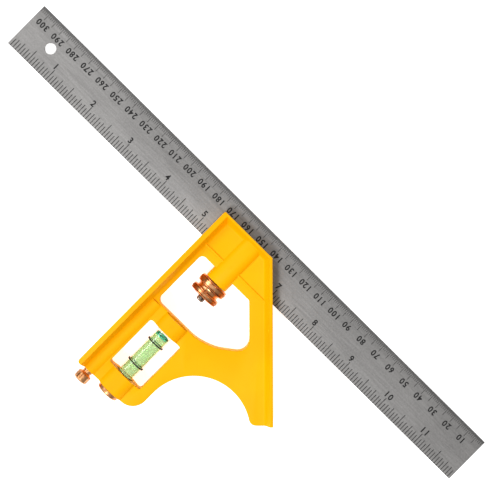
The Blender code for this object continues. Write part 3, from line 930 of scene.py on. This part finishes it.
def makeThread():
    # one vee of metal wound round the core
    c = clamp
    pitch = c["pitch"]
    last = c["boltEnd"] - c["threadGap"]
    turns = round((last - c["threadFrom"]) / pitch)
    start = last - turns * pitch
    bpy.ops.mesh.primitive_circle_add(vertices=3, radius=pitch * mm, fill_type="NGON")
    vee = bpy.context.object
    vee.name = "drawBoltThread"
    crest, core = c["crest"] * mm, (c["shank"] - 0.05) * mm
    half = pitch * c["veeShare"] * mm
    for vertex, place in zip(vee.data.vertices, ((crest, 0, 0), (core, 0, half), (core, 0, -half))):
        vertex.co = place
    screw = vee.modifiers.new("thread", "SCREW")
    screw.axis = "Z"
    screw.screw_offset = pitch * mm
    screw.iterations = turns
    screw.steps = 32
    screw.render_steps = 32
    screw.use_merge_vertices = False
    only(vee)
    bpy.ops.object.modifier_apply(modifier=screw.name)
    vee.matrix_world = Matrix.Translation(at(c["axis"], start)) @ Matrix.Rotation(math.pi / 2, 4, "X")
    settle(vee)
    tidyMesh(vee, 40)
    finishPiece(vee, "draw_bolt", boltSteel)
    print("draw bolt done")


makeNut()
makeBolt()
makeThread()

# level vial
vial = {
    "axis": 21.2, "tubeStart": 59.1, "tubeEnd": 95.0, "tube": 4.5, "tubeRound": 1.2, "bore": 4.0,
    "filling": 3.8, "liquidStart": 64.8, "meniscus": 1.2, "liquidEnd": 91.4,
    "lines": (70.2, 84.1), "lineWidth": 0.7, "lineRadius": 4.6, "lineWall": 0.2,
    "capStart": 102.2, "capHeight": 2.4, "capRadius": 5.95, "capRound": 0.9,
    "capShank": 4.8, "capShankStart": 96.4,
    "slotWidth": 1.4, "slotDepth": 0.9,
}


def makeTube():
    v = vial
    tube, bore, start, size = v["tube"], v["bore"], v["tubeStart"], v["tubeRound"]
    dome = [(start + size * (1 - math.cos(angle)), tube - size + size * math.sin(angle))
            for angle in (math.radians(step) for step in range(0, 91, 15))]
    floor = [(start + 1.8, bore), (start + 1.3, bore - 0.5), (start + 1.1, bore - 1.2),
             (start + 1.1, 0)]
    profile = [(start, 0)] + dome + [(v["tubeEnd"], tube), (v["tubeEnd"], bore)] + floor
    glass = lathe("vialGlass", v["axis"], profile, 64)
    tidyMesh(glass)
    finishPiece(glass, "head", acrylic, ["vial_tube"])


def makeLiquid():
    v = vial
    fill, level, dip = v["filling"], v["liquidStart"], v["meniscus"]
    surface = [(level + dip, 0)]
    # the outermost ring stops just short of the wall, where the surface would stand upright
    for share in (step / 9 * 0.998 for step in range(1, 10)):
        surface.append((level + dip * math.sqrt(1 - share ** 2), fill * share))
    liquid = lathe("vialLiquid", v["axis"], surface + [(v["liquidEnd"], fill), (v["liquidEnd"], 0)], 64)
    tidyMesh(liquid)
    finishPiece(liquid, "head", greenSpirit(), ["vial_liquid"])


def makeIndexLines():
    v = vial
    inner, outer = v["lineRadius"], v["lineRadius"] + v["lineWall"]
    half, soft = v["lineWidth"] / 2, 0.06
    for name, node, down in (("upperIndexLine", "index_ring_upper", v["lines"][0]),
                             ("lowerIndexLine", "index_ring_lower", v["lines"][1])):
        profile = [(down - half, inner), (down - half, outer - soft), (down - half + soft, outer),
                   (down + half - soft, outer), (down + half, outer - soft), (down + half, inner),
                   (down - half, inner)]
        line = lathe(name, v["axis"], profile, 64)
        tidyMesh(line)
        finishPiece(line, "head", blackBand, [node])


def makeCap():
    v = vial
    top, end, radius = v["capStart"], v["capStart"] + v["capHeight"], v["capRadius"]
    start, shank = v["capShankStart"], v["capShank"]
    lower = [(start, 0), (start, shank - 0.4), (start + 0.4, shank), (top, shank)]
    upper = [(top, radius - 0.2), (top + 0.2, radius)]
    profile = lower + upper + quarter(end, radius, v["capRound"]) + [(end, 0)]
    cap = lathe("vialPlug", v["axis"], profile)
    cut(cap, block("plugSlot", v["axis"] - 8, v["axis"] + 8, end - v["slotDepth"], end + over,
                   middle - v["slotWidth"] / 2, middle + v["slotWidth"] / 2))
    tidyMesh(cap)
    finishPiece(cap, "head", brass, ["vial_cap"])
    print("vial done")


makeTube()
makeLiquid()
makeIndexLines()
makeCap()

# scriber
scriber = {
    "axis": 7.2, "knobStart": 102.2, "neck": 2.5, "neckLength": 2.6, "knob": 3.7, "knobLength": 4.4,
    "socket": 1.5, "teeth": 28, "knurlDepth": 0.25,
    "needle": 1.2, "tip": 60.0, "tipLength": 7.0, "needleEnd": 106.0,
}


def makeKnob():
    s = scriber
    start, neck, knob = s["knobStart"], s["neck"], s["knob"]
    neckEnd = start + s["neckLength"]
    knobEnd = neckEnd + s["knobLength"]
    rows = evenly(neckEnd + 0.45, knobEnd - 1.0, 8)
    hollow = s["needleEnd"] + 0.3
    socket = [(hollow, 0), (hollow, s["socket"]), (start, s["socket"])]
    collar = [(start, neck - 0.2), (start + 0.2, neck), (neckEnd - 0.9, neck),
              (neckEnd - 0.6, neck - 0.35), (neckEnd - 0.3, neck), (neckEnd, neck + 0.2)]
    grip = [(neckEnd, knob - 0.4)] + [(down, knob) for down in rows]
    profile = socket + collar + grip + quarter(knobEnd, knob - 0.1, 0.7)[1:] + [(knobEnd, 0)]
    sides = s["teeth"] * 2
    handle = lathe("scriberKnob", s["axis"], profile, sides)
    knurl(handle, s["axis"], rows, knob, s["knurlDepth"], sides)
    tidyMesh(handle, 22)
    finishPiece(handle, "scriber", brass, ["scriber_knob"])


def makeNeedle():
    s = scriber
    tip, needle, end = s["tip"], s["needle"], s["needleEnd"]
    profile = [(tip, 0), (tip, 0.06), (tip + 0.15, 0.12), (tip + s["tipLength"], needle),
               (end - 0.2, needle), (end, needle - 0.2), (end, 0)]
    pin = lathe("scriberNeedle", s["axis"], profile, 40)
    tidyMesh(pin)
    finishPiece(pin, "scriber", needleSteel, ["scriber_needle"])
    print("scriber done")


makeKnob()
makeNeedle()

# the hidden CAD pieces keep their shape and get a finish
for node, material in (("clamp_spring", springSteel), ("vial_stopper", whitePlastic),
                       ("vial_cushion", blackRubber), ("scriber_sleeve", whitePlastic)):
    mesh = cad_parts[node].data
    mesh.materials.clear()
    mesh.materials.append(material)

# bench, light and camera
studio = {
    "keyPlace": (-0.05, -1.0, 1.75), "keySize": 0.4, "keyPower": 24.0,
    "sidePlace": (-1.45, 0.0, 1.5), "sideSize": 0.7, "sidePower": 13.0,
    "zenith": 0.62, "horizon": 0.2, "benchSize": 20, "benchDown": 0.0002, "benchGlow": 0.8,
    "lens": 79.36, "cameraFromRule": (-0.02233, -0.01074, 0.5394),
    "cameraTurn": (-1.8392, -1.5581, 44.7224),
}


def makeBench():
    bpy.ops.mesh.primitive_plane_add(size=studio["benchSize"], location=(0, 0, -studio["benchDown"]))
    bench = bpy.context.object
    bench.name = "bench"
    paper = mouldedPlastic("benchPaper", (0.86, 0.86, 0.86), (0.9, 0.9, 0.9), 0.8,
                           emissionColor=(1, 1, 1, 1), emissionStrength=studio["benchGlow"])
    bench.data.materials.append(paper)


def makeSky():
    # brighter overhead than at the horizon
    world = bpy.data.worlds.new("studioSky")
    bpy.context.scene.world = world
    world.use_nodes = True
    nodes, links = world.node_tree.nodes, world.node_tree.links
    direction = nodes.new("ShaderNodeTexCoord")
    split = nodes.new("ShaderNodeSeparateXYZ")
    rise = nodes.new("ShaderNodeMapRange")
    rise.inputs["To Min"].default_value = studio["horizon"]
    rise.inputs["To Max"].default_value = studio["zenith"]
    links.new(direction.outputs["Generated"], split.inputs[0])
    links.new(split.outputs["Z"], rise.inputs["Value"])
    links.new(rise.outputs[0], nodes["Background"].inputs["Strength"])
    nodes["Background"].inputs["Color"].default_value = (1, 1, 1, 1)


def areaLight(name, place, size, power):
    light = bpy.data.lights.new(name, "AREA")
    light.size = size
    light.energy = power
    lamp = bpy.data.objects.new(name, light)
    bpy.context.scene.collection.objects.link(lamp)
    lamp.location = place
    lamp.rotation_euler = (-Vector(place)).to_track_quat("-Z", "Y").to_euler()


def makeCamera():
    lens = bpy.data.cameras.new("benchCamera")
    lens.lens = studio["lens"]
    lens.sensor_width = 36
    lens.clip_start = 0.01
    camera = bpy.data.objects.new("benchCamera", lens)
    bpy.context.scene.collection.objects.link(camera)
    ruleCentre = Vector(((bladeLow.x + bladeHigh.x) / 2, bladeHigh.y, bladeHigh.z))
    camera.location = ruleCentre + Vector(studio["cameraFromRule"])
    camera.rotation_euler = [math.radians(angle) for angle in studio["cameraTurn"]]
    bpy.context.scene.camera = camera
    bpy.context.scene.view_settings.view_transform = "Standard"


makeBench()
makeSky()
areaLight("keyLight", studio["keyPlace"], studio["keySize"], studio["keyPower"])
areaLight("sideLight", studio["sidePlace"], studio["sideSize"], studio["sidePower"])
makeCamera()
